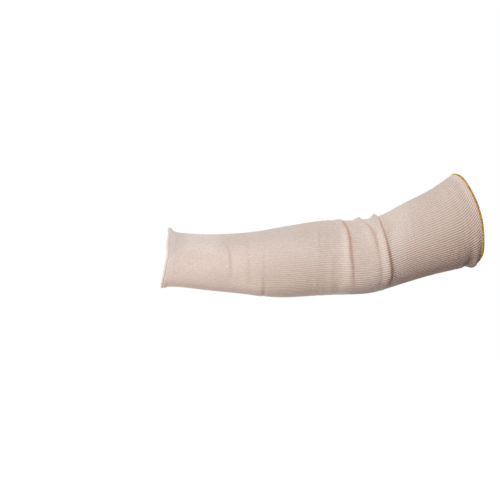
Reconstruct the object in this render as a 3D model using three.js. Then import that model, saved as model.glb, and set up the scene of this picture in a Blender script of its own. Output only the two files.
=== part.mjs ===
// A cotton arm sleeve for work, millimetres, +Z up.
// One seamless knitted tube, shown with the form it has when it is worn: a narrow wrist end with a
// rolled edge, a forearm that widens, three folds on the inside of the elbow's bend, and a wider
// upper end whose edge is overlocked with a yellow thread.
// Origin: centre of the wrist opening. +X runs along the forearm towards the elbow, +Z is the side
// of the bend's inside, -Y is the front of the sleeve.
import * as THREE from "three";

const WALL = 2.2;             // thickness of the knitted wall
const GAP = 0.3;              // air between the tube and each edge
const SEGMENTS = 32;          // facets around the sleeve
const ROLL = { across: 2.9, along: 3.4 };        // rolled edge at the wrist
const OVERLOCK = { across: 2.9, along: 2.3 };    // thread-covered edge at the upper end
const EDGE_SIDES = 6;         // facets around each edge's own section
const LEAN = 0.3;             // how far a ridge leans over its crease, as a share of its height
const FLARE_LENGTH = 4.2;     // length over which the wrist edge turns out
const HEM_REACH = 45;         // length over which the upper edge runs ahead
const WRIST_REACH = 30;       // length over which the wrist edge stands back

const COTTON = 0xd9c8b8, YELLOW = 0xd8a520;

function table(columns, rows) {
  const names = columns.split(" ");
  return rows.map((row) => Object.fromEntries(names.map((name, i) => [name, row[i]])));
}

// Outline of the tube, a row for each section: the ends of the section in the front view, the
// height of its middle plane towards the back, and how far it bulges to the front and the back.
const SECTIONS = table("topX topZ bottomX bottomZ midY front back", [
  [  3.9,  36.0,  -3.9, -36.0,   0.0,  25.3,  26.0],
  [ 11.4,  34.5,   5.6, -36.3,   0.0,  24.8,  25.2],
  [ 24.4,  33.1,  20.5, -37.1,   0.0,  25.0,  25.5],
  [ 45.2,  31.8,  43.9, -39.7,   0.0,  27.0,  27.0],
  [ 71.2,  31.8,  71.9, -42.5,   0.0,  31.0,  30.0],
  [ 97.2,  33.0,  99.8, -45.4,   0.0,  35.0,  33.5],
  [123.2,  36.0, 127.8, -48.6,   0.0,  38.5,  37.0],
  [149.2,  40.5, 155.1, -50.1,   0.0,  41.0,  40.0],
  [175.2,  44.8, 179.8, -49.0,   0.0,  42.5,  42.0],
  [201.2,  48.7, 203.2, -47.3,   0.0,  43.0,  43.0],
  [224.6,  49.8, 224.6, -46.2,   0.0,  42.5,  43.5],
  [242.8,  49.4, 246.7, -45.7,   0.5,  42.0,  44.0],
  [261.0,  51.5, 268.8, -43.6,   1.5,  42.0,  44.0],
  [279.2,  55.7, 292.2, -36.9,   3.5,  42.5,  44.0],
  [305.2,  68.9, 322.1, -27.8,   6.5,  44.0,  45.0],
  [331.2,  81.7, 352.0, -19.6,   9.5,  46.0,  47.0],
  [357.2,  96.5, 379.3, -13.3,  12.5,  48.0,  49.0],
  [377.4, 110.7, 401.4,  -8.3,  15.0,  49.8,  50.0],
]);

// Folds and creases, a row for each place around the sleeve (0 top, 90 front, 180 bottom, 270
// back): the crease's place along the axis, the height of the ridge on its wrist side, the depth
// of the crease (below zero where the cloth past it lies higher), the lengths over which the ridge
// rises and falls, and the length over which the depth fades past the crease.
const CREASE = "around along ridge depth rise fall fade";
const FOLDS = {
  inner: table(CREASE, [
    [  0, 231.0, 1.3,  0.2, 10.0,  4.0,  6.0],
    [ 20, 232.8, 1.9,  0.2,  9.0,  4.4,  8.0],
    [ 30, 233.8, 1.8,  0.0,  9.0,  4.4, 10.0],
    [ 40, 236.2, 1.9, -0.2,  9.0,  4.8, 12.0],
    [ 57, 239.0, 1.9, -0.4,  9.0,  5.0, 14.0],
    [ 80, 240.3, 1.9, -0.5,  8.6,  5.2, 16.0],
    [100, 241.4, 2.3, -0.5,  8.6,  5.2, 16.0],
    [118, 242.6, 2.3, -0.8,  9.0,  6.4, 16.0],
    [134, 244.0, 1.7, -0.5, 10.0,  8.6, 18.0],
    [150, 245.0, 0.4,  0.0, 13.0, 11.0, 18.0],
    [164, 245.0, 0.1,  0.0, 13.0, 11.0, 18.0],
    [215, 240.0, 0.0,  0.0, 12.0,  6.0,  8.0],
    [270, 237.0, 1.2,  0.0, 10.0,  5.6, 10.0],
    [325, 232.5, 1.6,  0.3, 10.0,  4.6,  6.0],
  ]),
  middle: table(CREASE, [
    [  0, 257.0, 3.6, 0.6,  8.0, 3.8, 6.0],
    [ 20, 260.6, 2.7, 0.7,  9.0, 4.0, 6.0],
    [ 27, 262.8, 2.0, 0.5,  9.0, 4.2, 6.0],
    [ 34, 265.2, 1.6, 0.4, 10.0, 4.2, 6.0],
    [ 45, 268.2, 1.3, 0.2, 10.0, 4.2, 6.0],
    [ 56, 270.2, 1.0, 0.1, 10.0, 4.2, 6.0],
    [ 70, 271.6, 0.7, 0.0, 10.0, 4.2, 6.0],
    [ 85, 272.6, 0.4, 0.0, 10.0, 4.2, 6.0],
    [110, 273.6, 0.2, 0.0, 10.0, 4.2, 6.0],
    [135, 273.8, 0.1, 0.0, 12.0, 4.4, 6.0],
    [200, 270.0, 0.0, 0.0, 12.0, 4.5, 6.0],
    [270, 265.0, 1.4, 0.4, 10.0, 4.4, 6.0],
    [325, 258.5, 2.8, 0.6,  9.0, 4.0, 6.0],
  ]),
  outer: table(CREASE, [
    [  0, 281.9, 4.4, 0.5,  4.8, 4.2, 5.0],
    [ 20, 283.2, 3.2, 0.6,  6.0, 4.6, 5.0],
    [ 40, 283.0, 2.4, 0.4,  8.0, 4.8, 5.0],
    [ 55, 283.8, 2.1, 0.3,  8.5, 5.0, 5.0],
    [ 75, 285.0, 2.0, 0.3,  9.0, 5.0, 5.0],
    [ 95, 285.9, 2.0, 0.4,  9.0, 5.0, 4.0],
    [115, 286.9, 2.1, 0.2,  9.0, 5.2, 3.5],
    [130, 287.2, 1.8, 0.2,  9.0, 6.2, 4.0],
    [146, 285.8, 0.7, 0.1,  9.0, 7.6, 5.0],
    [165, 283.6, 0.3, 0.1, 10.0, 5.0, 5.0],
    [190, 282.0, 0.0, 0.0, 10.0, 5.0, 5.0],
    [225, 283.0, 0.5, 0.2, 10.0, 5.0, 5.0],
    [270, 283.0, 1.8, 0.6, 10.0, 5.0, 5.0],
    [325, 281.6, 3.4, 0.7,  7.0, 4.2, 5.0],
  ]),
  forearmLow: table(CREASE, [
    [  0, 60.0,  0.0,  0.0, 12.0, 4.0, 6.0],
    [ 10, 60.0,  0.0,  0.0, 12.0, 4.0, 6.0],
    [ 24, 66.0, 0.12, 0.08, 12.0, 4.0, 6.0],
    [ 30, 72.3, 0.18,  0.1, 12.0, 4.0, 6.0],
    [ 42, 78.4, 0.22, 0.15, 12.0, 4.0, 6.0],
    [ 58, 84.0, 0.28,  0.2, 12.0, 4.0, 6.0],
    [ 79, 87.2, 0.38, 0.25, 12.0, 3.6, 6.0],
    [101, 87.0, 0.34,  0.2, 12.0, 3.6, 6.0],
    [125, 86.0, 0.12,  0.1, 12.0, 4.0, 6.0],
    [150, 84.0,  0.0,  0.0, 12.0, 4.0, 6.0],
    [250, 80.0,  0.3,  0.2, 12.0, 4.0, 6.0],
    [300, 74.0,  0.2,  0.1, 12.0, 4.0, 6.0],
  ]),
  forearmRing: table(CREASE, [
    [  0, 105.0, 0.0,  0.0, 12.0, 4.5, 6.0],
    [ 28, 107.0, 0.2, 0.15, 12.0, 4.5, 6.0],
    [ 59, 110.5, 0.2, 0.15, 12.0, 4.5, 6.0],
    [115, 110.5, 0.2, 0.15, 12.0, 4.5, 6.0],
    [150, 108.5, 0.0,  0.0, 12.0, 4.5, 6.0],
    [270, 104.0, 0.2,  0.1, 12.0, 4.5, 6.0],
  ]),
  forearmMiddle: table(CREASE, [
    [ 20, 133.0,  0.0,  0.0, 14.0, 4.0, 6.0],
    [ 41, 133.4, 0.12,  0.1, 14.0, 4.0, 6.0],
    [ 66, 131.2, 0.15,  0.1, 14.0, 4.0, 6.0],
    [ 84, 129.6, 0.22, 0.15, 14.0, 3.6, 6.0],
    [110, 128.0,  0.4,  0.3, 14.0, 3.4, 6.0],
    [144, 126.6,  0.8,  0.5, 14.0, 3.0, 6.0],
    [158, 126.0,  0.7,  0.4, 14.0, 3.0, 6.0],
    [200, 122.0,  0.2,  0.1, 14.0, 4.0, 6.0],
    [290, 121.0,  0.3,  0.1, 14.0, 4.0, 6.0],
  ]),
};
// Fuller places, with no crease: place around and along, spread both ways, height.
const BULGES = table("around along spreadAround spreadAlong height", [
  [137, 246.0, 26.0, 42.0, 4.0],
  [ 50, 165.0, 26.0, 50.0, 1.6],
  [147, 108.0, 21.0, 42.0, 1.8],
]);

// The two ends, a row for each place around: how far the upper edge runs ahead of the last
// section, and how far the wrist edge stands back from the first one and turns out.
const UPPER_EDGE = table("around ahead", [
  [  0, -1.6],
  [ 28,  1.9],
  [ 53,  4.6],
  [ 82,  8.0],
  [ 99,  8.7],
  [126,  8.1],
  [142,  7.8],
  [156,  5.2],
  [175, -0.4],
  [225, -0.4],
  [270,  0.6],
  [325, -1.4],
]);
const WRIST_EDGE = table("around back out", [
  [  0, 2.9, 3.8],
  [ 26, 4.2, 2.1],
  [ 57, 4.5, 0.6],
  [ 85, 6.3, 0.5],
  [100, 5.2, 0.5],
  [120, 4.1, 0.5],
  [150, 2.3, 1.0],
  [170, 1.6, 1.9],
  [200, 2.2, 1.4],
  [270, 4.0, 0.5],
  [320, 3.4, 1.6],
]);
// Lip at the bottom of the upper end, and the shallow grooves beside it: place around, distance
// from the end, spread both ways, height.
const LIPS = table("around fromEnd spreadAround spreadAlong height", [
  [166,  4.2, 12.0, 3.0,  4.1],
  [168, 10.0, 15.0, 3.2, -3.0],
  [137,  7.0, 26.0, 3.4,  0.8],
  [130,  1.9, 26.0, 1.9, -0.8],
  [146, 12.0, 22.0, 4.0, -0.8],
]);

// Where the rings of the mesh lie. Ordinary stretches are steps along the axis; around the elbow
// the rings follow the creases, so each row there is a share of the way from one to the next.
const WRIST_STEPS = [0, 2.2, 4.6, 8, 14, 22, 31, 41, 51, 60, 68];
const FOREARM_STEPS = [74, 79, 83, 87, 94, 103, 112, 118, 122.5, 126, 131, 140, 152, 166, 180, 194, 206];
const TO_INNER = [0.3, 0.5, 0.68, 0.8, 0.9, 1];
const TO_MIDDLE = [0.05, 0.12, 0.35, 0.55, 0.68, 0.78, 0.86, 0.93, 1];
const TO_OUTER = [0.07, 0.2, 0.38, 0.54, 0.68, 0.82, 0.92, 1];
const PAST_OUTER = [0.1, 0.25, 0.6, 1];
const BEFORE_FOLDS = 212, AFTER_FOLDS = 302;
const UPPER_STEPS = [90, 78, 66, 54, 43, 34, 26, 20, 15, 10.5, 6, 2.5, 0];   // back from the end

const smooth = (x) => { const t = Math.min(1, Math.max(0, x)); return t * t * (3 - 2 * t); };

// Natural cubic spline through rows of numbers at the places t.
function splineThrough(t, rows) {
  const n = t.length, k = rows[0].length, m = rows.map(() => new Array(k).fill(0));
  for (let c = 0; c < k; c++) {
    const sub = new Array(n).fill(0), rhs = new Array(n).fill(0);
    for (let i = 1; i < n - 1; i++) {
      const h0 = t[i] - t[i - 1], h1 = t[i + 1] - t[i];
      const p = 2 * (h0 + h1) - h0 * sub[i - 1];
      sub[i] = h1 / p;
      const d = 6 * ((rows[i + 1][c] - rows[i][c]) / h1 - (rows[i][c] - rows[i - 1][c]) / h0);
      rhs[i] = (d - h0 * rhs[i - 1]) / p;
    }
    for (let i = n - 2; i > 0; i--) m[i][c] = rhs[i] - sub[i] * m[i + 1][c];
  }
  return (s) => {
    let i = 0;
    while (i < n - 2 && s > t[i + 1]) i++;
    const h = t[i + 1] - t[i], a = (t[i + 1] - s) / h, b = (s - t[i]) / h;
    return rows[i].map((v, c) => a * v + b * rows[i + 1][c]
      + ((a ** 3 - a) * m[i][c] + (b ** 3 - b) * m[i + 1][c]) * h * h / 6);
  };
}

// Periodic smooth values from a table whose first column is the place around, in degrees.
function ringValues(rows) {
  const names = Object.keys(rows[0]).filter((name) => name !== "around");
  const wrap = [-360, 0, 360].flatMap((turn) => rows.map((row) => ({ ...row, around: row.around + turn })));
  const slopes = {};
  for (const name of names) {
    slopes[name] = wrap.map((row, i) => {
      if (i === 0 || i === wrap.length - 1) return 0;
      const h0 = row.around - wrap[i - 1].around, h1 = wrap[i + 1].around - row.around;
      const d0 = (row[name] - wrap[i - 1][name]) / h0, d1 = (wrap[i + 1][name] - row[name]) / h1;
      if (d0 * d1 <= 0) return 0;
      const w0 = 2 * h1 + h0, w1 = h1 + 2 * h0;
      return (w0 + w1) / (w0 / d0 + w1 / d1);
    });
  }
  return (degrees) => {
    const q = ((degrees % 360) + 360) % 360;
    let i = 0;
    while (wrap[i + 1].around <= q) i++;
    const h = wrap[i + 1].around - wrap[i].around, u = (q - wrap[i].around) / h;
    return Object.fromEntries(names.map((name) => [name,
      (2 * u ** 3 - 3 * u ** 2 + 1) * wrap[i][name] + (u ** 3 - 2 * u ** 2 + u) * h * slopes[name][i]
      + (3 * u ** 2 - 2 * u ** 3) * wrap[i + 1][name] + (u ** 3 - u ** 2) * h * slopes[name][i + 1]]));
  };
}

const middles = SECTIONS.map((c) => new THREE.Vector3((c.topX + c.bottomX) / 2, c.midY, (c.topZ + c.bottomZ) / 2));
const stations = middles.reduce((list, p, i) => [...list, i ? list[i - 1] + p.distanceTo(middles[i - 1]) : 0], []);
const LENGTH = stations[stations.length - 1];
const outline = splineThrough(stations, SECTIONS.map((c) => Object.values(c)));
const foldAt = Object.fromEntries(Object.entries(FOLDS).map(([name, rows]) => [name, ringValues(rows)]));
const upperEdgeAt = ringValues(UPPER_EDGE);
const wristEdgeAt = ringValues(WRIST_EDGE);

function middle(s) {
  const [tx, tz, bx, bz, y] = outline(s);
  return new THREE.Vector3((tx + bx) / 2, y, (tz + bz) / 2);
}

// A point of the plain tube, with the directions out of the wall and along the axis.
function tube(s, degrees) {
  const at = Math.min(LENGTH, Math.max(0, s)), th = THREE.MathUtils.degToRad(degrees);
  const [tx, tz, bx, bz, y, front, back] = outline(at);
  const centre = new THREE.Vector3((tx + bx) / 2, y, (tz + bz) / 2);
  const up = new THREE.Vector3((tx - bx) / 2, 0, (tz - bz) / 2);
  const along = middle(Math.min(LENGTH, at + 0.5)).sub(middle(Math.max(0, at - 0.5))).normalize();
  const face = new THREE.Vector3(along.y, -along.x, 0).normalize();
  const depth = (front + back) / 2 + (front - back) / 2 * Math.sin(th);
  const point = centre.clone().addScaledVector(up, Math.cos(th)).addScaledVector(face, Math.sin(th) * depth);
  const round = up.clone().multiplyScalar(-Math.sin(th))
    .addScaledVector(face, Math.cos(th) * (depth + (front - back) / 2 * Math.sin(th)));
  const out = round.cross(along).normalize();
  if (out.dot(point.clone().sub(centre)) < 0) out.negate();
  return { point, out, along };
}

// The outer face of the sleeve: the tube with its folds, its edges and its lip.
function face(s, degrees) {
  const { point, out, along } = tube(s, degrees);
  let height = 0, shift = 0;
  for (const at of Object.values(foldAt)) {
    const fold = at(degrees), t = s - fold.along;
    const up = smooth((t + fold.rise + fold.fall) / fold.rise), down = smooth((t + fold.fall) / fold.fall);
    if (t < -fold.fall) height += fold.ridge * up;
    else if (t <= 0) height += fold.ridge - (fold.ridge + fold.depth) * down;
    else height -= fold.depth * (1 - smooth(t / fold.fade));
    shift += LEAN * fold.ridge * (up * (1 - down)) ** 1.5;
  }
  const wrist = wristEdgeAt(degrees);
  shift += upperEdgeAt(degrees).ahead * smooth((s - LENGTH + HEM_REACH) / HEM_REACH) ** 1.3;
  shift += wrist.back * (1 - smooth(s / WRIST_REACH));
  height += wrist.out * Math.exp(-((s / FLARE_LENGTH) ** 2));
  for (const place of BULGES) {
    height += place.height * Math.exp(-(((degrees - place.around) / place.spreadAround) ** 2)
      - (((s - place.along) / place.spreadAlong) ** 2));
  }
  for (const lip of LIPS) {
    height += lip.height * Math.exp(-(((degrees - lip.around) / lip.spreadAround) ** 2)
      - (((s - LENGTH + lip.fromEnd) / lip.spreadAlong) ** 2));
  }
  return { point: point.addScaledVector(out, height).addScaledVector(along, shift), out, along };
}

// A closed skin over a grid of points: each row is a ring, and the last row meets the first.
function skin(rows) {
  const n = rows[0].length, position = [], index = [];
  for (const row of rows) for (const p of row) position.push(p.x, p.y, p.z);
  for (let r = 0; r < rows.length; r++) {
    const next = (r + 1) % rows.length;
    for (let i = 0; i < n; i++) {
      const j = (i + 1) % n, a = r * n + i, b = r * n + j, c = next * n + j, d = next * n + i;
      index.push(a, b, c, a, c, d);
    }
  }
  const geometry = new THREE.BufferGeometry();
  geometry.setAttribute("position", new THREE.Float32BufferAttribute(position, 3));
  geometry.setIndex(index);
  let volume = 0;
  const v = (k) => new THREE.Vector3().fromArray(position, index[k] * 3);
  for (let k = 0; k < index.length; k += 3) volume += v(k).dot(v(k + 1).cross(v(k + 2)));
  if (volume < 0) {
    for (let k = 0; k < index.length; k += 3) [index[k + 1], index[k + 2]] = [index[k + 2], index[k + 1]];
    geometry.setIndex(index);
  }
  geometry.computeVertexNormals();
  return geometry;
}

const AROUND = Array.from({ length: SEGMENTS }, (_, i) => i * 360 / SEGMENTS);
const mix = (a, b, u) => a + (b - a) * u;

function sleeveBody() {
  const stops = [
    ...WRIST_STEPS.map((s) => () => s),
    ...FOREARM_STEPS.map((s) => () => s),
    ...TO_INNER.map((u) => (f) => mix(BEFORE_FOLDS, f.inner, u)),
    ...TO_MIDDLE.map((u) => (f) => mix(f.inner, f.middle, u)),
    ...TO_OUTER.map((u) => (f) => mix(f.middle, f.outer, u)),
    ...PAST_OUTER.map((u) => (f) => mix(f.outer, AFTER_FOLDS, u)),
    ...UPPER_STEPS.map((back) => () => LENGTH - back),
  ];
  const creases = AROUND.map((a) => Object.fromEntries(["inner", "middle", "outer"].map((name) => [name, foldAt[name](a).along])));
  const outer = stops.map((stop) => AROUND.map((a, i) => face(stop(creases[i]), a)));
  const outerRows = outer.map((ring) => ring.map((f) => f.point));
  const innerRows = outer.map((ring) => ring.map((f) => f.point.clone().addScaledVector(f.out, -WALL)));
  return skin([...outerRows, ...innerRows.reverse()]);
}

// An edge that runs around an end of the tube, with its own rounded section.
function edge(s, direction, size) {
  const rows = AROUND.map((a) => {
    const { point, out, along } = face(s, a);
    const centre = point.addScaledVector(out, -WALL / 2)
      .addScaledVector(along, direction * (GAP + size.along / 2));
    return Array.from({ length: EDGE_SIDES }, (_, k) => {
      const t = (k + 0.5) * 2 * Math.PI / EDGE_SIDES, widen = 1 / Math.cos(Math.PI / EDGE_SIDES);
      return centre.clone().addScaledVector(out, Math.sin(t) * size.across / 2)
        .addScaledVector(along, Math.cos(t) * size.along / 2 * widen);
    });
  });
  return skin(rows);
}

function piece(name, geometry, color, roughness) {
  const mesh = new THREE.Mesh(geometry, new THREE.MeshStandardMaterial({ color, roughness, metalness: 0 }));
  mesh.name = name;
  return mesh;
}

const sleeve = new THREE.Group();
sleeve.add(
  piece("sleeve_body", sleeveBody(), COTTON, 0.95),
  piece("wrist_edge", edge(0, -1, ROLL), COTTON, 0.95),
  piece("hem_overlock", edge(LENGTH, 1, OVERLOCK), YELLOW, 0.8),
);

export default sleeve;
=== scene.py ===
"""A knitted cotton arm sleeve in the form it has when worn.

Tables are in millimetres in the part's frame: origin in the middle of the wrist opening, +X along
the forearm, +Z to the inside of the elbow's bend, -Y to the front. Meshes are made in metres.
Angles around the sleeve: 0 top, 90 front, 180 bottom, 270 back.
"""

import math

import bpy
import numpy as np
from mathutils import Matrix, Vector


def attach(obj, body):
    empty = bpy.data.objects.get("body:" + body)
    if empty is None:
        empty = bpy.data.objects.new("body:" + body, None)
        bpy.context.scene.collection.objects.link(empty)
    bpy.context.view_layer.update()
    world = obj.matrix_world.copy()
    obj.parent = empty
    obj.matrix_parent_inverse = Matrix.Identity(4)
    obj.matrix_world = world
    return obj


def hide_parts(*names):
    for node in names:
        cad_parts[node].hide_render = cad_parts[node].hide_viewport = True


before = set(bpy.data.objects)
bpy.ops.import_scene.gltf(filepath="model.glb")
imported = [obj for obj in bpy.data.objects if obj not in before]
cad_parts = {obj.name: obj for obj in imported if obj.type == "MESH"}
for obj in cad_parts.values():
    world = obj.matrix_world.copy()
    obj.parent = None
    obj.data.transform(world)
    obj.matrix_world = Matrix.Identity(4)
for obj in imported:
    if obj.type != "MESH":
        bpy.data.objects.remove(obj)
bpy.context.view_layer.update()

# ------------------------------------------------------------------ the sleeve's form

WALL = 1.7
WALES = 100            # knitted ribs around
PER = 4                # mesh columns to a rib
LEAN = 0.45
FLARE_LENGTH = 4.2
HEM_REACH, WRIST_REACH = 45.0, 30.0

# topX topZ bottomX bottomZ midY front back
SECTIONS = np.array([
    [3.9, 36.0, -3.9, -36.0, 0.0, 25.3, 26.0],
    [11.4, 34.5, 5.6, -36.3, 0.0, 24.8, 25.2],
    [24.4, 33.1, 20.5, -37.1, 0.0, 25.0, 25.5],
    [45.2, 31.8, 43.9, -39.7, 0.0, 27.0, 27.0],
    [71.2, 31.8, 71.9, -42.5, 0.0, 31.0, 30.0],
    [97.2, 33.0, 99.8, -45.4, 0.0, 35.0, 33.5],
    [123.2, 36.0, 127.8, -48.6, 0.0, 38.5, 37.0],
    [149.2, 40.5, 155.1, -50.1, 0.0, 41.0, 40.0],
    [175.2, 44.8, 179.8, -49.0, 0.0, 42.5, 42.0],
    [201.2, 48.7, 203.2, -47.3, 0.0, 43.0, 43.0],
    [224.6, 49.8, 224.6, -46.2, 0.0, 42.5, 43.5],
    [242.8, 49.4, 246.7, -45.7, 0.5, 42.0, 44.0],
    [261.0, 51.5, 268.8, -43.6, 1.5, 42.0, 44.0],
    [279.2, 55.7, 292.2, -36.9, 3.5, 42.5, 44.0],
    [305.2, 68.9, 322.1, -27.8, 6.5, 44.0, 45.0],
    [331.2, 81.7, 352.0, -19.6, 9.5, 46.0, 47.0],
    [357.2, 96.5, 379.3, -13.3, 12.5, 48.0, 49.0],
    [377.4, 110.7, 401.4, -8.3, 15.0, 49.8, 50.0],
])

# around, along, ridge height, crease depth, rise, fall, fade, strength of the painted shade in the crease
FOLDS = {
    "inner": [
        [0, 231.0, 1.3, 0.2, 10, 4.0, 6, 0.08],
        [20, 232.8, 1.9, 0.2, 9, 4.4, 8, 0.36],
        [30, 233.8, 1.8, 0.0, 9, 4.4, 10, 0.54],
        [40, 236.2, 1.9, -0.2, 9, 4.8, 12, 0.52],
        [57, 239.0, 1.8, -0.4, 9, 5.0, 14, 0.49],
        [80, 240.3, 1.65, -0.5, 8.6, 5.2, 16, 0.38],
        [100, 241.4, 1.9, -0.5, 8.6, 5.2, 16, 0.28],
        [118, 242.6, 1.9, -0.7, 9, 6.4, 16, 0.16],
        [134, 244.0, 1.4, -0.5, 10, 8.6, 18, 0.02],
        [150, 245.0, 0.2, 0.0, 13, 11.0, 18, 0.00],
        [164, 245.0, 0.1, 0.0, 13, 11.0, 18, 0.00],
        [215, 240.0, 0.0, 0.0, 12, 6.0, 8, 0.00],
        [270, 237.0, 1.2, 0.0, 10, 5.6, 10, 0.24],
        [325, 232.5, 1.6, 0.3, 10, 4.6, 6, 0.24],
    ],
    "middle": [
        [0, 257.0, 3.6, 0.6, 8, 3.8, 6, 0.10],
        [20, 260.6, 2.7, 0.7, 9, 4.0, 6, 0.28],
        [27, 262.8, 2.0, 0.5, 9, 4.2, 6, 0.22],
        [34, 265.2, 1.6, 0.4, 10, 4.2, 6, 0.24],
        [45, 268.2, 1.3, 0.2, 10, 4.2, 6, 0.22],
        [56, 270.2, 1.0, 0.1, 10, 4.2, 6, 0.19],
        [70, 271.6, 0.7, 0.0, 10, 4.2, 6, 0.17],
        [85, 272.6, 0.4, 0.0, 10, 4.2, 6, 0.14],
        [110, 273.6, 0.2, 0.0, 10, 4.2, 6, 0.06],
        [135, 273.8, 0.1, 0.0, 12, 4.4, 6, 0.02],
        [200, 270.0, 0.0, 0.0, 12, 4.5, 6, 0.00],
        [270, 265.0, 1.4, 0.4, 10, 4.4, 6, 0.20],
        [325, 258.5, 2.8, 0.6, 9, 4.0, 6, 0.18],
    ],
    "outer": [
        [0, 281.9, 4.4, 0.5, 4.8, 4.2, 5, 0.14],
        [20, 283.2, 3.2, 0.6, 6.0, 4.6, 5, 0.22],
        [40, 283.0, 2.4, 0.4, 8, 4.8, 5, 0.22],
        [55, 283.8, 2.05, 0.3, 8.5, 5.0, 5, 0.21],
        [75, 285.0, 1.9, 0.3, 9, 5.0, 5, 0.29],
        [95, 285.9, 1.85, 0.4, 9, 5.0, 4.0, 0.47],
        [115, 286.9, 1.9, 0.2, 9, 5.2, 3.5, 0.44],
        [130, 287.2, 1.7, 0.2, 9, 6.2, 4.0, 0.20],
        [146, 285.8, 0.7, 0.1, 9, 7.6, 5, 0.08],
        [165, 283.6, 0.3, 0.1, 10, 5.0, 5, 0.00],
        [190, 282.0, 0.0, 0.0, 10, 5.0, 5, 0.00],
        [225, 283.0, 0.5, 0.2, 10, 5.0, 5, 0.10],
        [270, 283.0, 1.8, 0.6, 10, 5.0, 5, 0.36],
        [325, 281.6, 3.4, 0.7, 7, 4.2, 5, 0.28],
    ],
    "forearm_low": [
        [0, 60.0, 0.0, 0.0, 12, 4.0, 6, 0.0],
        [10, 60.0, 0.0, 0.0, 12, 4.0, 6, 0.0],
        [24, 66.0, 0.12, 0.08, 12, 4.0, 6, 0.03],
        [30, 72.3, 0.18, 0.10, 12, 4.0, 6, 0.05],
        [42, 78.4, 0.22, 0.15, 12, 4.0, 6, 0.07],
        [58, 84.0, 0.28, 0.2, 12, 4.0, 6, 0.11],
        [79, 87.2, 0.38, 0.25, 12, 3.6, 6, 0.16],
        [101, 87.0, 0.34, 0.2, 12, 3.6, 6, 0.15],
        [125, 86.0, 0.12, 0.1, 12, 4.0, 6, 0.04],
        [150, 84.0, 0.0, 0.0, 12, 4.0, 6, 0.0],
        [250, 80.0, 0.3, 0.2, 12, 4.0, 6, 0.08],
        [300, 74.0, 0.2, 0.1, 12, 4.0, 6, 0.04],
    ],
    "forearm_ring": [
        [0, 105.0, 0.0, 0.0, 12, 4.5, 6, 0.0],
        [28, 107.0, 0.2, 0.15, 12, 4.5, 6, 0.05],
        [59, 110.5, 0.2, 0.15, 12, 4.5, 6, 0.07],
        [115, 110.5, 0.2, 0.15, 12, 4.5, 6, 0.05],
        [150, 108.5, 0.0, 0.0, 12, 4.5, 6, 0.0],
        [270, 104.0, 0.2, 0.1, 12, 4.5, 6, 0.03],
    ],
    "forearm_middle": [
        [20, 133.0, 0.0, 0.0, 14, 4.0, 6, 0.0],
        [41, 133.4, 0.12, 0.1, 14, 4.0, 6, 0.03],
        [66, 131.2, 0.15, 0.1, 14, 4.0, 6, 0.04],
        [84, 129.6, 0.22, 0.15, 14, 3.6, 6, 0.05],
        [110, 128.0, 0.24, 0.2, 14, 3.4, 6, 0.05],
        [144, 126.6, 0.6, 0.4, 14, 3.0, 6, 0.20],
        [158, 126.0, 0.7, 0.4, 14, 3.0, 6, 0.20],
        [200, 122.0, 0.2, 0.1, 14, 4.0, 6, 0.03],
        [290, 121.0, 0.3, 0.1, 14, 4.0, 6, 0.04],
    ],
}
# how wide the painted shade spreads about each crease, in mm
CREASE_SHADE = {"inner": 2.9, "middle": 2.6, "outer": 2.9, "forearm_low": 2.0, "forearm_ring": 2.2, "forearm_middle": 2.0}
# fuller places: around, along, spread around, spread along, height
BULGES = [[137, 246, 26, 42, 4.0], [50, 165, 26, 50, 1.6], [147, 108, 21, 42, 1.8]]
# soft lines with no crease: how far they spread, then around, along, height
LINES = [
    (3.0, [[20, 194.5, 0.0], [33, 195.4, 0.25], [72, 198.4, 0.35], [110, 197.4, 0.3], [135, 196.4, 0.3], [155, 196, 0.0], [270, 197, 0.2]]),
    (3.0, [[75, 213.4, 0.0], [93, 213.4, 0.35], [149, 213.4, 0.4], [165, 213.4, 0.0], [290, 212, 0.2]]),
    (3.0, [[70, 220.7, 0.0], [86, 220.7, -0.35], [137, 220.7, -0.35], [155, 220.7, 0.0], [300, 220, -0.2]]),
    (2.2, [[20, 381.0, 0.0], [45, 381.0, -0.22], [110, 381.0, -0.22], [140, 381.0, -0.1], [200, 381.0, 0.0]]),
]
# faint rings left by wearing: wavelength, height, start, sway
RINGS_LEFT = [[5.3, 0.045, 0.4, 1.1], [7.1, 0.06, 2.1, 1.7], [9.4, 0.07, 4.0, 1.4], [12.6, 0.08, 5.2, 2.0]]
UPPER_EDGE = [[0, -1.6], [28, 1.9], [53, 4.6], [82, 8.0], [99, 8.7], [126, 8.1], [142, 7.8], [156, 5.2],
              [175, -0.4], [225, -0.4], [270, 0.6], [325, -1.4]]
WRIST_EDGE = [[0, 2.9, 3.8], [26, 4.2, 2.1], [57, 4.5, 0.6], [85, 6.3, 0.5], [100, 5.2, 0.5], [120, 4.1, 0.5],
              [150, 2.3, 1.0], [170, 1.6, 1.9], [200, 2.2, 1.4], [270, 4.0, 0.5], [320, 3.4, 1.6]]
# place around, distance from the end, spread around, spread along, height
LIPS = [[166, 4.2, 12, 3.0, 4.1], [168, 10.0, 15, 3.2, -3.0], [137, 7.0, 26, 3.4, 0.8], [130, 1.9, 26, 1.9, -0.8], [146, 12.0, 22, 4.0, -0.8]]
# how far the ribs turn towards the top at the upper edge, in degrees
TWIST = [[0, 12.0], [60, 14.5], [100, 12.0], [140, 6.5], [180, 5.5], [270, 9.0]]
TWIST_REACH = 25.0
# around the sleeve: how close the ribs stand on the upper arm, and near its edge
RIBS_CLOSE = [[0, 1.0, 0.92], [38, 1.0, 0.88], [60, 1.0, 0.93], [75, 1.03, 0.99], [90, 1.05, 1.04], [105, 1.06, 1.07],
              [130, 1.0, 1.03], [160, 0.98, 1.0], [200, 0.98, 1.06], [270, 0.98, 1.10], [320, 1.0, 1.02]]
RIBS_HELD = 108.0      # the ribs here keep their place
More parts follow.
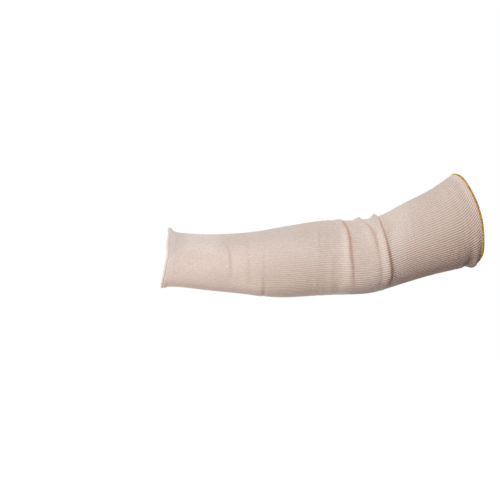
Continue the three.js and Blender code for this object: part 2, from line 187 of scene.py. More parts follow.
# along the sleeve: rib height, and strength of the painted shade in the valleys between the ribs
RIBS = np.array([
    [0.0, 0.04, 0.00], [4.0, 0.10, 0.05], [60.0, 0.12, 0.15], [110.0, 0.16, 0.28], [160.0, 0.20, 0.38],
    [205.0, 0.25, 0.48], [228.0, 0.24, 0.45], [262.0, 0.20, 0.37], [279.0, 0.29, 0.58], [287.0, 0.56, 0.95], [305.0, 0.58, 0.95], [335.0, 0.66, 1.08],
    [366.0, 0.68, 1.15], [384.0, 0.72, 1.20], [397.0, 0.80, 1.34], [398.4, 0.42, 0.65], [399.4, 0.12, 0.10]])
# around the sleeve: share of the rib height, and of the painted shade in the rib valleys, on the forearm and on the
# upper arm
RIBS_AROUND = [[0, 0.90, 0.34, 0.60, 0.26], [40, 1.28, 0.64, 0.94, 0.48], [62, 1.25, 0.64, 1.04, 0.52], [78, 1.24, 0.68, 1.07, 0.54],
               [105, 1.42, 1.10, 1.02, 0.63], [135, 1.50, 1.48, 1.05, 0.70], [150, 1.40, 1.30, 1.15, 1.00], [170, 1.30, 1.10, 1.30, 1.15],
               [215, 1.20, 0.70, 1.20, 0.70], [270, 1.00, 0.50, 1.00, 0.55], [320, 0.90, 0.36, 0.50, 0.30]]


def spline_through(t, y):
    n = len(t)
    h = np.diff(t)
    a = np.zeros((n, n))
    r = np.zeros_like(y)
    a[0, 0] = a[-1, -1] = 1
    for i in range(1, n - 1):
        a[i, i - 1], a[i, i], a[i, i + 1] = h[i - 1], 2 * (h[i - 1] + h[i]), h[i]
        r[i] = 6 * ((y[i + 1] - y[i]) / h[i] - (y[i] - y[i - 1]) / h[i - 1])
    m = np.linalg.solve(a, r)

    def at(q):
        i = np.clip(np.searchsorted(t, q) - 1, 0, n - 2)
        p, b = (t[i + 1] - q) / h[i], (q - t[i]) / h[i]
        hh = h[i][..., None]
        p, b = p[..., None], b[..., None]
        return p * y[i] + b * y[i + 1] + ((p**3 - p) * m[i] + (b**3 - b) * m[i + 1]) * hh**2 / 6

    return at


def ring_values(rows):
    """Smooth periodic values from rows whose first column is the angle around."""
    rows = np.asarray(rows, float)
    a = np.concatenate([rows[:, 0] - 360, rows[:, 0], rows[:, 0] + 360])
    v = np.concatenate([rows[:, 1:]] * 3)
    h = np.diff(a)[:, None]
    d = np.diff(v, axis=0) / h
    m = np.zeros_like(v)
    for i in range(1, len(a) - 1):
        w0, w1 = 2 * h[i] + h[i - 1], h[i] + 2 * h[i - 1]
        ok = d[i - 1] * d[i] > 0
        m[i][ok] = ((w0 + w1) / (w0 / np.where(ok, d[i - 1], 1) + w1 / np.where(ok, d[i], 1)))[ok]

    def at(deg):
        q = np.mod(deg, 360)
        i = np.searchsorted(a, q, side="right") - 1
        hh = (a[i + 1] - a[i])[..., None]
        u = ((q - a[i]) / (a[i + 1] - a[i]))[..., None]
        return ((2 * u**3 - 3 * u**2 + 1) * v[i] + (u**3 - 2 * u**2 + u) * hh * m[i]
                + (3 * u**2 - 2 * u**3) * v[i + 1] + (u**3 - u**2) * hh * m[i + 1])

    return at


def smooth(x):
    x = np.clip(x, 0, 1)
    return x * x * (3 - 2 * x)


_mid = np.stack([(SECTIONS[:, 0] + SECTIONS[:, 2]) / 2, SECTIONS[:, 4], (SECTIONS[:, 1] + SECTIONS[:, 3]) / 2], 1)
STATIONS = np.concatenate([[0], np.cumsum(np.linalg.norm(np.diff(_mid, axis=0), axis=1))])
LENGTH = STATIONS[-1]
outline = spline_through(STATIONS, SECTIONS)
fold_at = {name: ring_values(rows) for name, rows in FOLDS.items()}
ribs_at = ring_values(RIBS_AROUND)
line_at = [(spread, ring_values(rows)) for spread, rows in LINES]
upper_edge_at, wrist_edge_at, twist_at = ring_values(UPPER_EDGE), ring_values(WRIST_EDGE), ring_values(TWIST)
close_at = ring_values(RIBS_CLOSE)


def middle(s):
    q = outline(s)
    return np.stack([(q[..., 0] + q[..., 2]) / 2, q[..., 4], (q[..., 1] + q[..., 3]) / 2], -1)


def unit(v):
    return v / np.linalg.norm(v, axis=-1, keepdims=True)


def tube(s, deg):
    """The plain tube: points, directions out of the wall and along the axis."""
    at = np.clip(s, 0, LENGTH)
    th = np.radians(deg)
    q = outline(at)
    centre = np.stack([(q[..., 0] + q[..., 2]) / 2, q[..., 4], (q[..., 1] + q[..., 3]) / 2], -1)
    up = np.stack([(q[..., 0] - q[..., 2]) / 2, np.zeros_like(at), (q[..., 1] - q[..., 3]) / 2], -1)
    along = unit(middle(np.minimum(LENGTH, at + 0.5)) - middle(np.maximum(0, at - 0.5)))
    face = unit(np.stack([along[..., 1], -along[..., 0], np.zeros_like(at)], -1))
    front, back = q[..., 5], q[..., 6]
    sn, cs = np.sin(th), np.cos(th)
    depth = (front + back) / 2 + (front - back) / 2 * sn
    point = centre + cs[..., None] * up + (sn * depth)[..., None] * face
    around = -sn[..., None] * up + (cs * (depth + (front - back) / 2 * sn))[..., None] * face
    out = unit(np.cross(around, along))
    out = out * np.sign(np.sum(out * (point - centre), -1))[..., None]
    return point, out, along


def relief(s, deg):
    """Height of the folds, edges and lips over the plain tube, their shift along it, and the strength of the shade
    painted into the creases.
    """
    height, shift, shade = np.zeros_like(s), np.zeros_like(s), np.zeros_like(s)
    for name, at in fold_at.items():
        place, ridge_h, depth, rise, fall, fade, dark = np.moveaxis(at(deg), -1, 0)
        t = s - place
        up, down = smooth((t + rise + fall) / rise), smooth((t + fall) / fall)
        height += np.where(t < -fall, ridge_h * up, ridge_h - (ridge_h + depth) * down) * (t <= 0)
        height -= np.where(t > 0, depth * (1 - smooth(t / fade)), 0)
        shift += LEAN * ridge_h * (up * (1 - down)) ** 1.5
        wide = CREASE_SHADE[name]
        shade = np.maximum(shade, dark * np.exp(-(((t + 0.45 * fall) / wide) ** 2)))
    for spread, at in line_at:
        place, rise = np.moveaxis(at(deg), -1, 0)
        height += rise * np.exp(-(((s - place) / spread) ** 2))
    worn = 0.25 + 0.75 * smooth((s - 166) / 26) * (1 - smooth((s - 235) / 12)) + 0.5 * smooth((s - 300) / 20)
    around = np.radians(deg)
    for length, rise, start, sway in RINGS_LEFT:
        height += worn * rise * np.sin(2 * np.pi * s / length + start + sway * np.sin(around + start) + 0.6 * np.sin(3 * around + 2 * start))
    height += 0.16 * np.sin(s / 17.0 + 1.3 * np.sin(2 * around + 0.7)) * np.sin(3 * around + s / 41.0 + 0.4)
    wrist = wrist_edge_at(deg)
    shift += upper_edge_at(deg)[..., 0] * smooth((s - LENGTH + HEM_REACH) / HEM_REACH) ** 1.3
    shift += wrist[..., 0] * (1 - smooth(s / WRIST_REACH))
    height += wrist[..., 1] * np.exp(-((s / FLARE_LENGTH) ** 2))
    d = np.mod(deg, 360)
    for around, place, spread_around, spread_along, rise in BULGES:
        height += rise * np.exp(-(((d - around) / spread_around) ** 2) - (((s - place) / spread_along) ** 2))
    for around, from_end, spread_around, spread_along, lip in LIPS:
        near = np.exp(-(((d - around) / spread_around) ** 2) - (((s - LENGTH + from_end) / spread_along) ** 2))
        height += lip * near
    return height, shift, shade


def face(s, deg, lift=0.0):
    point, out, along = tube(s, deg)
    height, shift, _ = relief(s, deg)
    return point + out * (height + lift)[..., None] + along * shift[..., None], out, along


# ------------------------------------------------------------------ meshes


def grid_quads(rows, columns, close_rows=False):
    """Corner numbers of a grid of points whose columns close on themselves."""
    r = np.arange(rows if close_rows else rows - 1)
    c = np.arange(columns)
    r, c = np.meshgrid(r, c, indexing="ij")
    r1, c1 = (r + 1) % rows, (c + 1) % columns
    return np.stack([r * columns + c, r * columns + c1, r1 * columns + c1, r1 * columns + c], -1).reshape(-1, 4)


def make_mesh(name, points, quads, uvs=None, slots=None):
    """A mesh object from points (mm) and quads; uvs is {map name: (faces, 4, 2)}."""
    me = bpy.data.meshes.new(name)
    me.vertices.add(len(points))
    me.vertices.foreach_set("co", (np.asarray(points, np.float64) * 0.001).astype(np.float32).ravel())
    me.loops.add(quads.size)
    me.loops.foreach_set("vertex_index", quads.astype(np.int32).ravel())
    me.polygons.add(len(quads))
    me.polygons.foreach_set("loop_start", np.arange(0, quads.size, 4, dtype=np.int32))
    me.polygons.foreach_set("loop_total", np.full(len(quads), 4, np.int32))
    me.polygons.foreach_set("use_smooth", np.ones(len(quads), bool))
    if slots is not None:
        me.polygons.foreach_set("material_index", np.asarray(slots, np.int32))
    for map_name, values in (uvs or {}).items():
        layer = me.uv_layers.new(name=map_name)
        layer.data.foreach_set("uv", np.asarray(values, np.float32).ravel())
    me.update(calc_edges=True)
    me.validate()
    ob = bpy.data.objects.new(name, me)
    bpy.context.scene.collection.objects.link(ob)
    return ob


def signed_volume(points, quads):
    p = points[quads]
    return (np.einsum("ij,ij->i", p[:, 0], np.cross(p[:, 1], p[:, 2])).sum()
            + np.einsum("ij,ij->i", p[:, 0], np.cross(p[:, 2], p[:, 3])).sum()) / 6


# Rings along the sleeve. Around the elbow they follow the creases.
def steps(a, b, count):
    return list(np.linspace(a, b, count + 1)[1:])


WRIST_RINGS = [0.0, 0.8, 1.7, 2.8, 4.2, 6.0, 8.4] + steps(8.4, 70, 17)
FOREARM_RINGS = steps(70, 130, 33) + steps(130, 206, 40)
BEFORE_FOLDS, AFTER_FOLDS = 206.0, 304.0
TO_INNER = [0.12, 0.22, 0.31, 0.39, 0.47, 0.54, 0.61, 0.67, 0.73, 0.78, 0.825, 0.865, 0.90, 0.93, 0.955, 0.98, 1]
TO_MIDDLE = [0.03, 0.07, 0.12, 0.19, 0.27, 0.35, 0.43, 0.51, 0.58, 0.64, 0.70, 0.75, 0.795, 0.835, 0.87, 0.905, 0.94, 0.97, 1]
TO_OUTER = [0.05, 0.12, 0.2, 0.28, 0.36, 0.44, 0.51, 0.57, 0.63, 0.685, 0.735, 0.785, 0.83, 0.87, 0.91, 0.945, 0.975, 1]
PAST_OUTER = [0.04, 0.09, 0.16, 0.26, 0.38, 0.52, 0.67, 0.83, 1]
UPPER_RINGS = steps(AFTER_FOLDS, LENGTH - 40, 21) + steps(LENGTH - 40, LENGTH - 3.6, 20) + [LENGTH - 2.5, LENGTH - 1.5, LENGTH - 0.7, LENGTH]
# each ring is a fixed distance along, or a share of the way between two creases
RINGS = ([(None, s) for s in WRIST_RINGS + FOREARM_RINGS] + [(0, u) for u in TO_INNER] + [(1, u) for u in TO_MIDDLE]
         + [(2, u) for u in TO_OUTER] + [(3, u) for u in PAST_OUTER] + [(None, s) for s in UPPER_RINGS])


def ring_places(deg):
    """How far along each ring lies, for a row of angles to each ring."""
    lines = [np.full(deg.shape, BEFORE_FOLDS)] + [fold_at[n](deg)[..., 0] for n in ("inner", "middle", "outer")]
    lines.append(np.full(deg.shape, AFTER_FOLDS))
    s = np.empty(deg.shape)
    for k, (i, u) in enumerate(RINGS):
        s[k] = u if i is None else lines[i][k] + (lines[i + 1][k] - lines[i][k]) * u
    return s


def ring_grid(columns):
    """Distance along and angle around for columns that share each ring's length evenly."""
    fine = np.arange(1080) / 3.0
    many = np.broadcast_to(fine, (len(RINGS), len(fine)))
    s = ring_places(many)
    point, _, along = tube(s, many)
    d = np.roll(point, -1, 1) - point
    d -= along * np.sum(d * along, -1)[..., None]
    on_arm, at_edge = np.moveaxis(close_at(many), -1, 0)
    close = 1 + (on_arm - 1) * smooth((s - 286) / 30)
    close += (at_edge - close) * smooth((s - 358) / 26)
    step = np.linalg.norm(d, axis=-1)
    plain, length = [np.concatenate([np.zeros((len(RINGS), 1)), np.cumsum(w, 1)], 1) for w in (step, step * close)]
    ends = np.append(fine, 360.0)
    deg = np.stack([np.interp(np.arange(columns) / columns * row[-1], row, ends) for row in length])
    held = np.array([np.interp(np.interp(RIBS_HELD, ends, even) / even[-1] * row[-1], row, ends) for even, row in zip(plain, length)])
    deg += (RIBS_HELD - held)[:, None]
    s = ring_places(deg)
    turned = deg - twist_at(deg)[..., 0] * np.clip((s - LENGTH + TWIST_REACH) / TWIST_REACH, 0, 1) ** 2
    return s, turned


def knit_tube():
    columns = WALES * PER
    s, deg = ring_grid(columns)
    plain, out, along = tube(s, deg)
    height, shift, shade = relief(s, deg)
    bare = plain + out * height[..., None] + along * shift[..., None]
    # true normals of the folded face carry the ribs
    ds = np.gradient(bare, axis=0)
    dt = np.roll(bare, -1, 1) - np.roll(bare, 1, 1)
    normal = unit(np.cross(dt, ds))
    normal *= np.sign(np.sum(normal * out, -1).mean())
    profile = np.array([0.0, 0.74, 1.0, 0.74])[np.arange(columns) % PER]
    higher, valley_shade_forearm, higher_up, valley_shade_upper = np.moveaxis(ribs_at(deg), -1, 0)
    upper = smooth((s - 284) / 14)
    rib = np.interp(s, RIBS[:, 0], RIBS[:, 1]) * (higher + (higher_up - higher) * upper)
    # strength of the painted shade in the valleys between the ribs
    valley_shade = np.interp(s, RIBS[:, 0], RIBS[:, 2]) * (valley_shade_forearm + (valley_shade_upper - valley_shade_forearm) * upper)
    outer = bare + normal * (profile * rib)[..., None]
    rows = len(s)
    # the inner wall has half the columns and fewer rings
    fold_rows = range(len(WRIST_RINGS + FOREARM_RINGS) - 1, rows - len(UPPER_RINGS))
    pick = sorted(set(range(0, rows, 5)) - set(fold_rows) | set(fold_rows[::2]) | {1, rows - 3, rows - 1})
    inner_cols = np.arange(0, columns, 2)
    inner = bare[np.ix_(pick, inner_cols)] - out[np.ix_(pick, inner_cols)] * WALL
    bump = np.where(np.arange(len(inner_cols)) % 2 == 0, 0.0, 0.18)
    inner = inner - out[np.ix_(pick, inner_cols)] * bump[None, :, None]
    # courses: knitted rows, counted along the cloth itself
    step = np.linalg.norm(np.diff(bare, axis=0), axis=-1).mean(1)
    share = np.concatenate([[0], np.cumsum(step)])
    course = share / 1.75
    share = share / share[-1]

    points = np.concatenate([outer.reshape(-1, 3), inner.reshape(-1, 3)])
    quads = grid_quads(rows, columns)
    n_in, start, rows_in = len(inner_cols), rows * columns, len(pick)
    q_in = grid_quads(rows_in, n_in)[:, ::-1] + start

    def corners(u, v, wrap):
        """The two numbers at a grid's quads: u by row and column with one column more than the mesh, v alike."""
        u, v = [np.concatenate([w, w[:, :1] + (wrap if w is u else 0)], 1) for w in (u, v)]
        return np.stack([np.stack([w[:-1, :-1], w[:-1, 1:], w[1:, 1:], w[1:, :-1]], -1) for w in (u, v)], -1).reshape(-1, 4, 2)

    def knit_map(cols, per, rings):
        return corners(np.broadcast_to(np.arange(cols) / per, (len(rings), cols)) + 0.0,
                       np.repeat(course[rings][:, None], cols, 1), cols / per)

    def bake_map(cols, rings, lo, hi):
        v = np.broadcast_to(np.arange(cols) / cols, (len(rings), cols)) + 0.0
        u = np.repeat(share[rings][:, None], cols, 1)
        both = corners(v, u, 1.0)
        return np.stack([0.004 + 0.992 * both[..., 1], lo + (hi - lo) * both[..., 0]], -1)

    every = np.arange(rows)
    from_hem = np.clip((LENGTH - s) / 10, 0, 1)
    from_wrist = np.clip(s / 10, 0, 1)
    inside = np.ix_(pick, inner_cols)
    maps = {
        "Knit": [knit_map(columns, PER, every), knit_map(n_in, 2, np.array(pick))[:, ::-1]],
        "Cloth": [corners(valley_shade, shade, 0), corners(valley_shade[inside], shade[inside], 0)[:, ::-1]],
        "Ends": [corners(from_wrist, from_hem, 0), corners(from_wrist[inside], from_hem[inside], 0)[:, ::-1]],
        "OFBake": [bake_map(columns, every, 0.004, 0.62), bake_map(n_in, np.array(pick), 0.636, 0.996)[:, ::-1]],
    }

    # rims: each pair of outer steps meets one inner step, in a triangle and a quad
    k = np.arange(n_in)
    tris, rim_quads, ends = [], [], np.repeat([0, 1], n_in)
    for end, ring_o, ring_i in ((0, 0, 0), (1, rows - 1, rows_in - 1)):
        o0, o1, o2 = (ring_o * columns + (2 * k + j) % columns for j in (0, 1, 2))
        i0, i1 = start + ring_i * n_in + k, start + ring_i * n_in + (k + 1) % n_in
        tri, quad = np.stack([o0, o1, i0], -1), np.stack([o1, o2, i1, i0], -1)
        tris.append(tri[:, ::-1] if end == 0 else tri)
        rim_quads.append(quad[:, ::-1] if end == 0 else quad)
    tris, rim_quads = np.concatenate(tris), np.concatenate(rim_quads)
    # the rims take thin strips beside the two walls
    k = np.tile(k, 2)
    edge_u = np.where(ends == 0, 0.0015, 0.9985)
    v0, v1 = 0.004 + 0.616 * k / n_in, 0.004 + 0.616 * (k + 1) / n_in
    rim_q, rim_t = np.zeros((len(rim_quads), 4, 2)), np.zeros((len(tris), 3, 2))
    rim_q[:, :, 0] = edge_u[:, None]
    rim_q[:, :, 1] = np.stack([v0, v1, v1, v0], 1)
    rim_q[:, 2:, 0] += 0.001 * np.where(ends == 0, -1, 1)[:, None]
    rim_t[:, :, 0] = edge_u[:, None]
    rim_t[:, :, 1] = np.stack([v0, (v0 + v1) / 2, v0], 1)
    at_end = np.stack([np.stack([k / 2, np.where(ends == 0, 0, course[-1])], -1)] * 4, 1)
    plain_end = np.zeros((len(rim_quads), 4, 2))
    end_band = np.stack([np.where(ends == 0, 0.0, 1.0), np.where(ends == 0, 1.0, 0.0)], -1)[:, None] + plain_end
    for name, values in (("Knit", (at_end, at_end[:, :3])), ("Cloth", (plain_end, plain_end[:, :3])),
                         ("Ends", (end_band, end_band[:, :3])), ("OFBake", (rim_q, rim_t))):
        maps[name] += values

    me = bpy.data.meshes.new("sleeve_knit")
    quads_all = np.concatenate([quads, q_in])
    loops = np.concatenate([quads_all.ravel(), rim_quads.ravel(), tris.ravel()])
    totals = np.concatenate([np.full(len(quads_all) + len(rim_quads), 4), np.full(len(tris), 3)])
    starts = np.concatenate([[0], np.cumsum(totals)[:-1]])
    me.vertices.add(len(points))
    me.vertices.foreach_set("co", (points * 0.001).astype(np.float32).ravel())
    me.loops.add(len(loops))
    me.loops.foreach_set("vertex_index", loops.astype(np.int32))
    me.polygons.add(len(totals))
    me.polygons.foreach_set("loop_start", starts.astype(np.int32))
    me.polygons.foreach_set("loop_total", totals.astype(np.int32))
    me.polygons.foreach_set("use_smooth", np.ones(len(totals), bool))
    slots = np.zeros(len(totals), np.int32)
    slots[len(quads):len(quads) + len(q_in)] = 1
    me.polygons.foreach_set("material_index", slots)
    for name, parts in maps.items():
        layer = me.uv_layers.new(name=name)
        layer.data.foreach_set("uv", np.concatenate([p.reshape(-1, 2) for p in parts]).astype(np.float32).ravel())
    me.update(calc_edges=True)
    me.validate()
    if signed_volume(points, quads_all) < 0:
        me.flip_normals()
    ob = bpy.data.objects.new("sleeve_knit", me)
    bpy.context.scene.collection.objects.link(ob)
    print("sleeve_knit: rings", rows, "inner", rows_in, "triangles", int((totals - 2).sum()))
    return ob


def sweep_ring(name, centres, u_dir, v_dir, section):
    """A closed tube along a closed path: section is (k, 2) or (n, k, 2) offsets in mm along u and v."""
    section = np.broadcast_to(section, (len(centres),) + np.shape(section)[-2:])
    pts = centres[:, None] + section[..., :1] * u_dir[:, None] + section[..., 1:] * v_dir[:, None]
    n, k = pts.shape[:2]
    quads = grid_quads(n, k, close_rows=True)
    r = np.repeat(np.arange(n), k)
    c = np.tile(np.arange(k), n)
    uv = np.stack([np.stack([r, c], -1), np.stack([r, c + 1], -1), np.stack([r + 1, c + 1], -1), np.stack([r + 1, c], -1)], 1)
    uv = uv / np.array([n, k])
    points = pts.reshape(-1, 3)
    if signed_volume(points, quads) < 0:
        quads, uv = quads[:, ::-1], uv[:, ::-1]
    return points, quads, uv


def circle(k, a, b):
    t = (np.arange(k) + 0.5) * 2 * np.pi / k
    return np.stack([np.cos(t) * a, np.sin(t) * b], -1)


def edge_path(s, deg, direction, reach):
    """Centres of an edge's own section, with the directions out and along."""
    point, out, along = face(np.full_like(deg, s), deg)
    return point - out * (WALL / 2) + along * (direction * reach), out, along


def wrist_roll():
    n = WALES * PER
    deg = np.arange(n) * 360.0 / n
    centre, out, along = edge_path(0.0, deg, -1, 1.70)
    lump = 1 + 0.05 * np.sin(np.radians(deg * 7 + 20)) + 0.035 * np.sin(np.radians(deg * 17 + 70))
    rib = np.array([0.0, 0.7, 1.0, 0.7])[np.arange(n) % PER] * 0.06
    section = circle(14, 2.00, 1.46)[None] * (lump + rib)[:, None, None]
    points, quads, uv = sweep_ring("wrist_roll", centre, along, out, section)
    return make_mesh("wrist_roll", points, quads, {"Ring": uv * [WALES, 1.0]})


def thread(name, path, radius, sides=6):
    """A closed thread along a closed path of points."""
    ahead = unit(np.roll(path, -1, 0) - np.roll(path, 1, 0))
    ref = unit(path - path.mean(0))
    u = unit(np.cross(ahead, ref))
    v = np.cross(ahead, u)
    return sweep_ring(name, path, u, v, circle(sides, radius, radius))


def overlock():
    """Yellow threads wound over the upper edge: a core and two strands that cross it stitch by stitch."""
    pieces = []
    n = 440
    deg = np.arange(n) * 360.0 / n
    centre, out, along = edge_path(LENGTH, deg, 1, 0.85)
    pieces.append(sweep_ring("core", centre, along, out, circle(8, 1.48, 1.10)))
    stitches = 108
    per = 16
    m = stitches * per
    t = np.arange(m) / m
    for start, slant in ((0.0, 0.0), (0.27, 0.05)):
        turn = 2 * np.pi * (t * stitches + start)
        d = 360.0 * (t + slant * np.sin(turn) / stitches)
        centre, out, along = edge_path(LENGTH, d, 1, 0.85)
        path = centre + along * (np.cos(turn) * 1.62)[:, None] + out * (np.sin(turn) * 1.22)[:, None]
        pieces.append(thread("strand", path, 0.34))
    points, quads, uvs, count = [], [], [], 0
    for p, q, uv in pieces:
        points.append(p)
        quads.append(q + count)
        uvs.append(uv)
        count += len(p)
    return make_mesh("overlock_threads", np.concatenate(points), np.concatenate(quads), {"Thread": np.concatenate(uvs)})


# ------------------------------------------------------------------ materials


class Nodes:
    def __init__(self, name):
        self.material = bpy.data.materials.new(name)
        self.material.use_nodes = True
        self.tree = self.material.node_tree
        self.tree.nodes.clear()
        self.out = self.add("ShaderNodeOutputMaterial")
        self.shader = self.add("ShaderNodeBsdfPrincipled")
        self.link(self.shader.outputs["BSDF"], self.out.inputs["Surface"])

    def add(self, kind, **settings):
        node = self.tree.nodes.new(kind)
        for key, value in settings.items():
            setattr(node, key, value)
        return node

    def link(self, a, b):
        self.tree.links.new(a, b)

    def put(self, value, socket):
        if hasattr(value, "is_output") or hasattr(value, "links"):
            self.link(value, socket)
        else:
            socket.default_value = value

    def math(self, operation, a, b=None, c=None, clamp=False):
        node = self.add("ShaderNodeMath", operation=operation, use_clamp=clamp)
        self.put(a, node.inputs[0])
        if b is not None:
            self.put(b, node.inputs[1])
        if c is not None:
            self.put(c, node.inputs[2])
        return node.outputs[0]

    def mix(self, factor, a, b):
        node = self.add("ShaderNodeMix", data_type="RGBA")
        self.put(factor, node.inputs["Factor"])
        self.put(a, node.inputs[6])
        self.put(b, node.inputs[7])
        return node.outputs[2]

    def noise(self, vector, scale, detail=2.0, roughness=0.5):
        node = self.add("ShaderNodeTexNoise")
        node.inputs["Scale"].default_value = scale
        node.inputs["Detail"].default_value = detail
        node.inputs["Roughness"].default_value = roughness
        self.link(vector, node.inputs["Vector"])
        return node.outputs["Fac"]

    def span(self, value, lo, hi, out_lo=0.0, out_hi=1.0, kind="SMOOTHSTEP"):
        node = self.add("ShaderNodeMapRange", interpolation_type=kind)
        self.put(value, node.inputs["Value"])
        for key, number in (("From Min", lo), ("From Max", hi), ("To Min", out_lo), ("To Max", out_hi)):
            node.inputs[key].default_value = number
        return node.outputs["Result"]


def linear(r, g, b):
    """An sRGB colour, 0 to 255, as linear numbers."""
    def one(v):
        v /= 255
        return v / 12.92 if v <= 0.04045 else ((v + 0.055) / 1.055) ** 2.4
    return (one(r), one(g), one(b), 1.0)


def knit_material(name, light, valley_shade_and_yarn_tone, purl=False):
    k = Nodes(name)

    def numbers(map_name):
        part = k.add("ShaderNodeSeparateXYZ")
        k.link(k.add("ShaderNodeUVMap", uv_map=map_name).outputs["UV"], part.inputs[0])
        return part.outputs["X"], part.outputs["Y"]

    u, v = numbers("Knit")
    valley_shade, shade = numbers("Cloth")
    from_wrist, from_hem = numbers("Ends")
    place = k.add("ShaderNodeTexCoord").outputs["Object"]
    across = k.math("ABSOLUTE", k.math("SUBTRACT", k.math("FRACT", u), 0.5))       # 0 on a rib's crest, 0.5 in the valley
    valley = k.span(across, 0.20, 0.48)
    if purl:
        # the purl side: short arcs in rows, each row shifted half a rib
        wave = k.math("MULTIPLY", k.math("COSINE", k.math("MULTIPLY", u, 2 * math.pi)), 0.22)
        leg = k.math("FRACT", k.math("ADD", v, wave))
    else:
        # the two slanting legs of each stitch
        leg = k.math("FRACT", k.math("ADD", v, k.math("MULTIPLY", across, 1.1)))
    gap = k.span(k.math("ABSOLUTE", k.math("SUBTRACT", leg, 0.5)), 0.26, 0.5)
    fine = k.noise(place, 900.0, 3.0, 0.6)
    mottle = k.noise(place, 480.0, 2.0, 0.5)
    soft = k.noise(place, 34.0, 3.0, 0.55)
    # yarn is smoother to the eye where the cloth is stretched over the upper arm
    spread = k.add("ShaderNodeSeparateXYZ")
    k.link(place, spread.inputs[0])
    calm = k.span(spread.outputs["X"], 0.270, 0.305, 1.0, 0.14)
    # painted light over the elbow, and painted shade on the upper arm beyond it
    elbow_painted_light = k.math("MULTIPLY", k.span(spread.outputs["X"], 0.200, 0.240), k.span(spread.outputs["X"], 0.320, 0.290))
    light = k.mix(elbow_painted_light, light, linear(245, 230, 219))
    light = k.mix(k.span(spread.outputs["X"], 0.305, 0.340), light, linear(230, 213, 201))
    # painted light in places: over the wrist, next to the wrist's edge, along the forearm's lower side and beside the
    # upper edge on its upper side
    wrist_painted_light = k.math("MULTIPLY", k.span(spread.outputs["Z"], 0.002, 0.018), k.span(spread.outputs["X"], 0.085, 0.055))
    wrist_painted_light = k.math("MULTIPLY", wrist_painted_light, k.span(spread.outputs["X"], 0.014, 0.038))
    light = k.mix(wrist_painted_light, light, linear(246, 232, 223))
    light = k.mix(k.span(from_wrist, 0.95, 0.60), light, linear(245, 231, 221))
    forearm_low_painted_light = k.math("MULTIPLY", k.span(spread.outputs["Z"], -0.020, -0.034), k.span(spread.outputs["X"], 0.080, 0.110))
    forearm_low_painted_light = k.math("MULTIPLY", forearm_low_painted_light, k.span(spread.outputs["X"], 0.225, 0.195))
    light = k.mix(k.math("MULTIPLY", forearm_low_painted_light, k.span(spread.outputs["Z"], -0.049, -0.043)), light, linear(241, 225, 211))
    # painted shade along the elbow's lower side
    elbow_low_painted_shade = k.math("MULTIPLY", k.span(spread.outputs["Z"], -0.038, -0.045), k.span(spread.outputs["X"], 0.228, 0.246))
    light = k.mix(k.math("MULTIPLY", elbow_low_painted_shade, k.span(spread.outputs["X"], 0.290, 0.272)), light, linear(204, 193, 185))
    # painted shade, browner and darker, towards the lower side of the upper arm
    above = k.math("SUBTRACT", spread.outputs["Z"], k.math("MULTIPLY", spread.outputs["X"], 0.35))
    upper_arm_low_painted_shade = k.math("MULTIPLY", k.span(above, -0.078, -0.118), k.span(spread.outputs["X"], 0.300, 0.325))
    light = k.mix(upper_arm_low_painted_shade, light, linear(236, 213, 200))
    light = k.mix(k.math("MULTIPLY", upper_arm_low_painted_shade, k.span(above, -0.132, -0.146)), light, linear(222, 202, 192))
    edge_painted_light = k.math("MULTIPLY", k.span(from_hem, 0.95, 0.45), k.span(spread.outputs["Z"], -0.002, 0.018))
    light = k.mix(edge_painted_light, light, linear(245, 229, 218))
    # painted shade down in the valleys between the ribs and in the gaps between the stitch legs, browner where it is
    # stronger
    valley_shade_depth = k.math("MULTIPLY_ADD", valley_shade, 0.85, 0.03, clamp=True)
    tone = k.mix(k.math("MULTIPLY", valley, valley_shade_depth if not purl else 0.30), light, k.mix(k.math("MULTIPLY", valley_shade, 0.8, clamp=True), valley_shade_and_yarn_tone, linear(160, 116, 88)))
    gap = k.math("MULTIPLY", gap, calm)
    tone = k.mix(k.math("MULTIPLY", gap, k.math("MULTIPLY_ADD", valley_shade, 0.06, 0.06)), tone, valley_shade_and_yarn_tone)
    # slow changes of tone, uneven yarn, and a few seed flecks
    tone = k.mix(k.span(soft, 0.35, 0.75, 0.0, 0.10), tone, valley_shade_and_yarn_tone)
    tone = k.mix(k.math("MULTIPLY", calm, k.span(mottle, 0.30, 0.72, 0.0, 0.22)), tone, valley_shade_and_yarn_tone)
    tone = k.mix(k.math("MULTIPLY", calm, k.span(fine, 0.45, 0.85, 0.0, 0.22)), tone, valley_shade_and_yarn_tone)
    fleck = k.noise(place, 260.0, 1.0, 0.4)
    tone = k.mix(k.span(fleck, 0.76, 0.84, 0.0, 0.30), tone, linear(176, 132, 92))
    # painted shade, brownish, down in the creases, and the sewn-down band at the upper edge
    tone = k.mix(shade, tone, linear(206, 144, 90))
    tone = k.mix(k.math("MULTIPLY", k.span(from_hem, 0.15, 0.09), 0.70), tone, linear(224, 202, 198))
